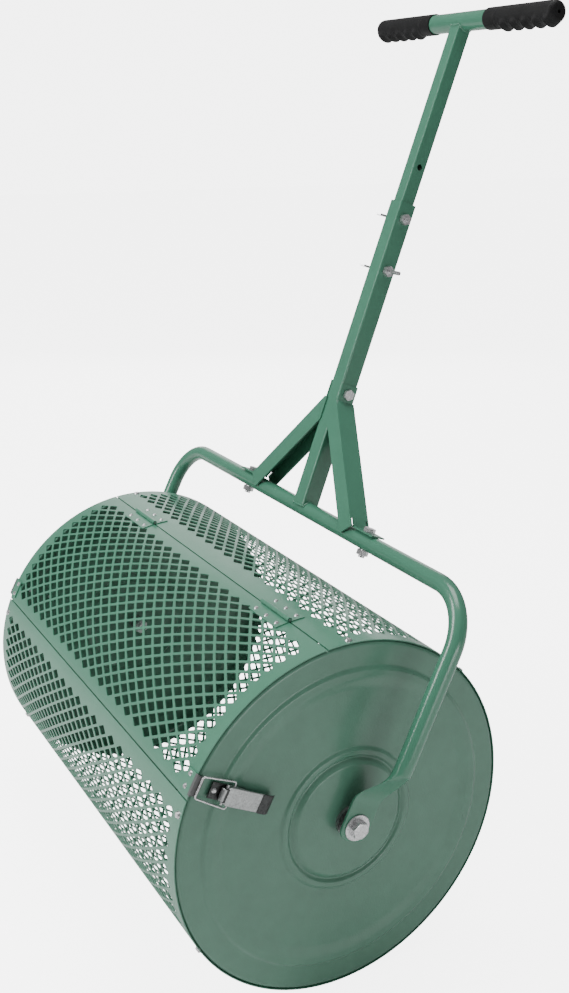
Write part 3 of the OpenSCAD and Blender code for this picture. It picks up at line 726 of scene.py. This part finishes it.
def saddle(width, tube_r, above, count=72):
    """The closed line where a square post of that width meets a tube along X of radius tube_r:
    it goes round the square with rounded corners, at the height of the tube's surface."""
    x, y = flat_round(turns(count), width / 2, width / 2, 7)
    drop = np.sqrt(np.clip(tube_r ** 2 - y ** 2, (tube_r * 0.35) ** 2, None))
    return x, y, above * drop


class SPREADER_OT_handle(bpy.types.Operator):
    """T-bar tube and the weld beads at both ends of the handle"""
    bl_idname = "spreader.handle"
    bl_label = "T-bar and welds"

    def execute(self, context):
        reach = float(np.linalg.norm(TEE - CROSSBAR))
        bar_r = float(size("t_bar")[1]) / 2
        half = float(size("t_bar")[0]) / 2
        edge = 0.001
        outline = [(bar_r - edge, -half), (bar_r, -half + edge), (bar_r, half - edge), (bar_r - edge, half)]
        points, faces = turned(outline, TEE, ACROSS, HANDLE_FRONT, 72)
        piece("tee_tube", points, faces, material("tube"), "frame", "green_frame", ("t_bar",))
        beads = []
        for width, tube_r, at, way in ((LOWER_POST, CROSSBAR_R, 0.0, 1), (UPPER_POST, bar_r, reach, -1)):
            x, y, z = saddle(width, tube_r, way)
            line = CROSSBAR + np.stack([x, y, at + z], -1) @ np.stack([ACROSS, HANDLE_FRONT, HANDLE_UP])
            beads.append(bead_along(line, sizes().weld))
        points, faces = join(beads)
        piece("weld_beads", points, faces, material("tube"), "frame", "green_frame")
        return {"FINISHED"}


GRIP_DOME = 0.007  # length of a grip's domed end
GRIP_MOUTH, GRIP_PIT = 0.0131, 0.0022  # radii where a grip starts and where its end dimples in


def grip_radius(along, turn, length):
    """Radius of a grip at a place along it and round it: a sleeve with a shallow groove near its
    inner end, a domed outer end, and five pointed finger ridges underneath."""
    base, dome = 0.014, GRIP_DOME
    past = np.clip((along - (length - dome)) / dome, 0, 1)
    r = base - dome + dome * np.sqrt(np.clip(1 - past ** 2, 0, 1))
    r = r - 0.0007 * np.exp(-((along - 0.021) / 0.0012) ** 2)
    pitch, first = 0.020, length - 0.011
    k = np.round((first - along) / pitch)
    inside = (k >= 0) & (k <= 4)
    tent = np.clip(1 - np.abs(first - along - k * pitch) / 0.0075, 0, 1) * inside
    under = np.clip(-np.cos(turn), 0, 1)
    under = smooth_step((under - 0.45) / 0.4)
    return r + 0.0038 * tent * under * (1 - past ** 2)


class SPREADER_OT_grips(bpy.types.Operator):
    """Moulded rubber grips with finger ridges"""
    bl_idname = "spreader.grips"
    bl_label = "Grips"

    def execute(self, context):
        start = float(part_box("grip_right")[0][0])
        length = float(size("grip_right")[0])
        over_dome = np.sin(np.linspace(0.05, 1, 14) * math.pi / 2)
        along = np.concatenate([[0, 0.0004], np.linspace(0.001, length - 0.0075, 128),
                                length - GRIP_DOME + GRIP_DOME * over_dome])
        count = 72
        for side, sign in SIDES.items():
            r = grip_radius(along[:, None], turns(count), length)
            r[0], r[-1] = GRIP_MOUTH, GRIP_PIT
            spoke = spokes(ACROSS, HANDLE_UP, count)
            rings = TEE + (start + along)[:, None, None] * ACROSS + r[..., None] * spoke
            pit = TEE + np.array([start + length - 0.004, 0, 0]) + 0.0020 * spoke
            rings = np.concatenate([rings, pit[None]])
            points, faces = mirrored(*swept(rings), sign)
            piece("grip_sleeve_" + side, points, faces, material("rubber"), "frame", "grip_rubber",
                  ("grip_" + side,), 60)
        return {"FINISHED"}


# ---------------------------------------------------------------- hardware

WASHER_THICK = 0.002
HEAD_ACROSS, HEAD_TURN = 0.018, 0.35  # the axle bolts' hexagon, and how far it has turned
SHANK_R, SHANK_IN = 0.006, 0.277  # the axle bolts' shank, and where it ends inside the drum


def hex_head(across, height, origin, axis, start):
    """A hexagon head: its edge stands at across / 2 / cos of the turn within a sixth, and its top
    is chamfered by a 30 degree cone."""
    count = 72
    edge = across / 2 / np.cos((turns(count) + math.pi / 6) % (math.pi / 3) - math.pi / 6)
    spoke = spokes(axis, start, count)
    out = [origin + edge[:, None] * spoke * 0.995, origin + edge[:, None] * spoke + axis * 0.0003]
    for f in (1.0, 0.94, 0.88, 0.8, 0.5, 0.05):
        r = edge * f
        z = height - np.clip(r - across * 0.475, 0, None) * 0.577
        out.append(origin + r[:, None] * spoke + z[:, None] * axis)
    return swept(out)


def washer(radius, thick, origin, axis, start):
    """A washer with rounded edges and a closed middle, which its bolt hides."""
    e = thick * 0.3
    return turned([(0.001, 0), (radius - e, 0), (radius, e), (radius, thick - e), (radius - e, thick),
                   (0.001, thick)], origin, axis, start, 64)


class SPREADER_OT_hardware(bpy.types.Operator):
    """Axle bolts, with their heads and shanks, and axle washers"""
    bl_idname = "spreader.hardware"
    bl_label = "Axle bolts and washers"

    def execute(self, context):
        up = np.array([0, 0, 1.0])
        outer = float(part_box("axle_washers")[1][0])
        tip = float(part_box("axle_bolts")[1][0])
        radius = float(size("axle_washers")[1]) / 2
        lean = np.array([0, math.sin(HEAD_TURN), math.cos(HEAD_TURN)])
        for side, sign in SIDES.items():
            disc = washer(radius, WASHER_THICK, AXLE + ACROSS * (outer - WASHER_THICK), ACROSS, up)
            points, faces = mirrored(*disc, sign)
            piece("axle_washer_" + side, points, faces, material("zinc"), "frame", "zinc",
                  ("axle_washers",) if sign > 0 else ())
            head = hex_head(HEAD_ACROSS, tip - outer, AXLE + ACROSS * outer, ACROSS, lean)
            shank = turned([(0.0005, SHANK_IN), (SHANK_R - 0.0005, SHANK_IN), (SHANK_R, SHANK_IN + 0.0008),
                            (SHANK_R, outer), (0.0005, outer)], AXLE, ACROSS, up, 40)
            points, faces = mirrored(*join([head, shank]), sign)
            piece("axle_bolt_" + side, points, faces, material("zinc"), "frame", "zinc",
                  ("axle_bolts",) if sign > 0 else (), 25)
        return {"FINISHED"}


# ---------------------------------------------------------------- latches

LATCH_AT = math.radians(62.7)  # the latches' angle from the drum's top
LATCH_ALONG = np.array([0, math.cos(LATCH_AT), math.sin(LATCH_AT)])
LATCH_OUT = np.array([0, -math.sin(LATCH_AT), math.cos(LATCH_AT)])
LEVER_START, LEVER_END = 0.175, 0.126  # the lever plate's radii from the axle
LEVER_WIDE = 0.021
KNUCKLE_AT, KNUCKLE_R, KNUCKLE_HALF = 0.1768, 0.0037, 0.0068  # its pivot: place, radius, half length
PIVOT_RISE, TOP_RISE = 0.009, 0.0133  # pivot and lever's top above the disc's face
BAIL_BACK = LEVER_START - 0.0085  # radius of the bail's feet, in the lever
BAIL_RISE = 0.0049  # the bail above the disc's face where it holds the catch


def on_latch(out, along, radial):
    """A point on a latch: out along X from the drum's middle, along the rim, and at a radius."""
    return AXLE + np.multiply.outer(out, ACROSS) + np.multiply.outer(radial, LATCH_OUT) \
        + np.multiply.outer(along, LATCH_ALONG)


def bent_wire(corners, radius, bend, count=14):
    """A round wire along a path whose corners are bent: each corner becomes an arc made of a
    quadratic curve from bend before it to bend after it."""
    corners = np.asarray(corners, float)
    line = [corners[0]]
    for before, here, after in zip(corners[:-2], corners[1:-1], corners[2:]):
        a = here + (before - here) / np.linalg.norm(before - here) * bend
        b = here + (after - here) / np.linalg.norm(after - here) * bend
        for f in np.linspace(0, 1, 8):
            line.append((1 - f) ** 2 * a + 2 * f * (1 - f) * here + f * f * b)
    line = np.array(line + [corners[-1]])
    ahead = np.gradient(line, axis=0)
    ahead /= np.linalg.norm(ahead, axis=1)[:, None]
    out = np.cross(ahead, [0.83, 0.31, 0.46])
    out /= np.linalg.norm(out, axis=1)[:, None]
    up = np.cross(ahead, out)
    t = turns(count)[None, :, None]
    return swept(line[:, None] + radius * (np.cos(t) * out[:, None] + np.sin(t) * up[:, None]))


def lever_plate(start_r, end_r, top, wide):
    """The pressed lever: a U-shaped section carried along the radius. Its skirts are deep at the
    pivot and fade to a low lip: depth = 1.4 mm + 6.4 mm * smooth_step of the distance to go."""
    radial = np.concatenate([np.linspace(start_r - 0.0008, start_r - 0.004, 5),
                             np.linspace(start_r - 0.008, end_r, 24)])
    half = wide / 2 - 0.0015 * smooth_step((radial - start_r + 0.005) / 0.004)
    deep = 0.0014 + 0.0064 * smooth_step((radial - start_r + 0.028) / 0.022)
    over = top - 0.0012 * smooth_step((radial - start_r + 0.004) / 0.0035)  # its end dips
    t, e = 0.001, 0.0007
    rings = []
    for r, h, d, o in zip(radial, half, deep, over):
        along = np.array([-h, -h, -h + e, h - e, h, h, h - t, h - t, -h + t, -h + t])
        out = np.array([o - d, o - e, o, o, o - e, o - d, o - d, o - t, o - t, o - d])
        rings.append(on_latch(out, along, r + 0 * out))
    return swept(rings[::-1])


def lever_tip(end_r, top, wide):
    """The dark tip: a thicker plate that goes on from the lever and bends down to the disc, with
    its far corners rounded by a superellipse."""
    f = np.linspace(0, 1, 22)
    turn = smooth_step((f - 0.3) / 0.6) * 0.95
    step = 0.0228 / (len(f) - 1)  # the tip is 22.8 mm long round its bend
    radial = end_r + 0.0035 - np.concatenate([[0], np.cumsum(np.cos(turn[1:]) * step)])
    out = top + 0.0004 - np.concatenate([[0], np.cumsum(np.sin(turn[1:]) * step)])
    half = (wide / 2 + 0.0003) * np.clip(1 - np.clip((f - 0.72) / 0.2815, 0, 1) ** 3.2, 0.02, 1) ** 0.42
    half = np.where(f < 0.05, half - 0.0006, half)
    t = 0.0019
    rings = []
    for r, o, h, a in zip(radial, out, half, turn):
        down_r, down_o = -math.sin(a), -math.cos(a)
        side = np.array([-h, -h + 0.0004, h - 0.0004, h, h, h - 0.0004, -h + 0.0004, -h])
        depth = np.array([0.0005, 0, 0, 0.0005, t - 0.0004, t, t, t - 0.0004])
        rings.append(on_latch(o + down_o * depth, side, r + down_r * depth))
    return swept(rings[::-1])


class SPREADER_OT_latches(bpy.types.Operator):
    """Toggle latches: pressed levers with their dark turned-down tips, and the wire bails"""
    bl_idname = "spreader.latches"
    bl_label = "Toggle latches"

    def execute(self, context):
        pivot, top = DISC_X + PIVOT_RISE, DISC_X + TOP_RISE
        foot = (pivot - 0.0008, BAIL_BACK)
        bow = (DISC_X + BAIL_RISE, DRUM_R - 0.0047)
        path = [on_latch(out, along, radial) for (out, radial), along in (
            (foot, -0.0088), (foot, -0.0155), (bow, -0.012), (bow, 0.012), (foot, 0.0155), (foot, 0.0088))]
        for side, sign in SIDES.items():
            points, faces = mirrored(*bent_wire(path, 0.001, 0.003), sign)
            piece("bail_wire_" + side, points, faces, material("zinc"), "bail_" + side, "latch_zinc",
                  ("latch_bail_" + side,))
            r, half = KNUCKLE_R, KNUCKLE_HALF
            knuckle = turned([(0.0002, -half), (r - 0.0004, -half), (r, -half + 0.0005), (r, half - 0.0005),
                              (r - 0.0004, half), (0.0002, half)], on_latch(pivot, 0.0, KNUCKLE_AT),
                             LATCH_ALONG, ACROSS, 28)
            parts = join([lever_plate(LEVER_START, LEVER_END, top, LEVER_WIDE), knuckle])
            points, faces = mirrored(*parts, sign)
            piece("lever_plate_" + side, points, faces, material("lever"), "lever_" + side,
                  "latch_zinc", ("latch_lever_" + side,))
            points, faces = mirrored(*lever_tip(LEVER_END + 0.0015, top, LEVER_WIDE), sign)
            piece("lever_tip_" + side, points, faces, material("dark"), "lever_" + side, "latch_zinc")
        return {"FINISHED"}


# ---------------------------------------------------------------- finishes of the CAD pieces

NODE_FINISH = {
    "zinc": ("rim_screws", "hinge_shell_rivets", "hinge_door_rivets", "latch_pin", "latch_rivets",
             "catch_rivets", "brace_bolts", "brace_nuts", "cross_bolt", "cross_nut", "wing_bolt",
             "axle_nuts", "axle_bolts", "axle_washers"),
    "steel": ("hub_bushes", "hinge_pin", "axle_spacers"),
    # the latch bases are dark as painted shade for the hollow inside the bails
    "dark": ("latch_base",),
    "catch": ("latch_catch",),
    "lever": ("latch_lever", "latch_bail"),
    "sheet": ("hinge_shell_leaf", "hinge_door_leaf", "drum_shell", "door_panel"),
    "tube": ("yoke_tube", "lower_tube", "upper_tube", "t_bar", "brace_right", "brace_left"),
    "disc": ("end_disc",),
    "rubber": ("grip",),
}


class SPREADER_OT_finishes(bpy.types.Operator):
    """Gives every carried-over CAD piece its finish"""
    bl_idname = "spreader.finishes"
    bl_label = "Finishes"

    def execute(self, context):
        for name, obj in frame["nodes"].items():
            kind = next(k for k, heads in NODE_FINISH.items() if name.startswith(heads))
            for slot in obj.material_slots:
                slot.material = material(kind)
            if not obj.material_slots:
                obj.data.materials.append(material(kind))
        return {"FINISHED"}


# ---------------------------------------------------------------- stage

LENS = 43.16  # mm on a 36 mm sensor along the picture's long side
SHIFT = (0.0042, -0.0859)
CAMERA_AT = (1.3016, -0.6419, 0.7593)
CAMERA_ALONG = (-0.8474, 0.4740, -0.2393)


def soft_light(name, place, target, wide, tall, power):
    """A softbox at a place, wide by tall metres, facing a target."""
    data = bpy.data.lights.new(name, "AREA")
    data.shape, data.size, data.size_y, data.energy = "RECTANGLE", wide, tall, power
    obj = bpy.data.objects.new(name, data)
    bpy.context.scene.collection.objects.link(obj)
    obj.location = place
    obj.rotation_euler = (Vector(target) - Vector(place)).to_track_quat("-Z", "Y").to_euler()
    return obj


KEY_WATTS, TOP_WATTS, BACK_WATTS, LOW_WATTS = 90, 62, 24, 9
SKY, GROUND, BACKDROP = 0.32, 0.18, 5.4  # strength of the studio from above, from below, and as seen
FLOOR_GLOW = 5.0  # a light table: the floor looks white but lights nothing
FLOOR_HALF, FLOOR_DROP = 14.0, 0.0005  # half its width, and how far it lies under the drum


def studio_world(scene):
    """A white room: brighter from above than from the level of the floor, and white as a backdrop."""
    world = bpy.data.worlds.new("studio")
    scene.world = world
    world.use_nodes = True
    tree = world.node_tree
    back = next(n for n in tree.nodes if n.type == "BACKGROUND")
    back.inputs["Color"].default_value = (1, 1, 1, 1)
    place = tree.nodes.new("ShaderNodeTexCoord")
    split = tree.nodes.new("ShaderNodeSeparateXYZ")
    tree.links.new(place.outputs["Generated"], split.inputs[0])
    height = Sock(tree, split.outputs[2]).between(-0.2, 0.9)
    seen = Sock(tree, tree.nodes.new("ShaderNodeLightPath").outputs["Is Camera Ray"])
    strength = GROUND + (SKY - GROUND) * height
    strength = strength * (1 - seen) + BACKDROP * seen
    tree.links.new(strength.socket, back.inputs["Strength"])


class SPREADER_OT_stage(bpy.types.Operator):
    """Pale floor, soft studio light and the camera"""
    bl_idname = "spreader.stage"
    bl_label = "Stage"

    def execute(self, context):
        scene = bpy.context.scene
        mesh = bpy.data.meshes.new("studio_floor")
        r = FLOOR_HALF
        mesh.from_pydata([(-r, -r, 0), (r, -r, 0), (r, r, 0), (-r, r, 0)], [], [(0, 1, 2, 3)])
        floor = bpy.data.objects.new("studio_floor", mesh)
        floor.location.z = -FLOOR_DROP
        scene.collection.objects.link(floor)
        f = Finish("pale floor", Roughness=0.9, Specular_IOR_Level=0.1, Base_Color=(0.9, 0.9, 0.9, 1),
                   Emission_Color=(1, 1, 1, 1))
        seen = Sock(f.tree, f.node("ShaderNodeLightPath").outputs["Is Camera Ray"])
        f.feed("Emission Strength", seen * FLOOR_GLOW)
        mesh.materials.append(f.material)
        studio_world(scene)
        soft_light("key", (-0.7, -2.5, 1.9), (0, 0, 0.45), 0.9, 2.6, KEY_WATTS)
        soft_light("top", (0.1, 0.2, 3.2), (0, 0, 0.4), 1.8, 1.8, TOP_WATTS)
        soft_light("back", (-2.9, 1.5, 1.3), (0, 0, 0.5), 2.4, 1.8, BACK_WATTS)
        soft_light("low", (2.3, 0.2, 0.3), (0.3, -0.1, 0.1), 1.2, 0.5, LOW_WATTS)
        data = bpy.data.cameras.new("camera")
        data.sensor_width = 36
        data.lens = LENS
        data.shift_x, data.shift_y = SHIFT
        data.clip_start, data.clip_end = 0.05, 60
        camera = bpy.data.objects.new("camera", data)
        scene.collection.objects.link(camera)
        camera.location = Vector(CAMERA_AT) + Vector((0, 0, AXLE[2]))
        camera.rotation_euler = Vector(CAMERA_ALONG).to_track_quat("-Z", "Y").to_euler()
        scene.camera = camera
        return {"FINISHED"}


# ---------------------------------------------------------------- add-on

OPERATORS = (SPREADER_OT_stage, SPREADER_OT_finishes, SPREADER_OT_drum, SPREADER_OT_discs,
             SPREADER_OT_yoke, SPREADER_OT_handle, SPREADER_OT_grips, SPREADER_OT_hardware,
             SPREADER_OT_latches)


class SPREADER_PT_panel(bpy.types.Panel):
    """Lists the sizes, the colours and the operators"""
    bl_idname = "SPREADER_PT_panel"
    bl_label = "Compost Spreader"
    bl_space_type = "VIEW_3D"
    bl_region_type = "UI"
    bl_category = "Spreader"

    def draw(self, context):
        column = self.layout.column()
        for group in (sizes(), finish()):
            for name in group.__annotations__:
                column.prop(group, name)
        for operator in OPERATORS:
            column.operator(operator.bl_idname)


CLASSES = (SpreaderSizes, SpreaderFinish, *OPERATORS, SPREADER_PT_panel)


def register():
    for c in CLASSES:
        bpy.utils.register_class(c)
    bpy.types.Scene.spreader_sizes = bpy.props.PointerProperty(type=SpreaderSizes)
    bpy.types.Scene.spreader_finish = bpy.props.PointerProperty(type=SpreaderFinish)


def unregister():
    del bpy.types.Scene.spreader_finish
    del bpy.types.Scene.spreader_sizes
    for c in reversed(CLASSES):
        bpy.utils.unregister_class(c)


def main():
    register()
    for operator in OPERATORS:
        group, name = operator.bl_idname.split(".")
        getattr(getattr(bpy.ops, group), name)()


if __name__ == "__main__":
    main()
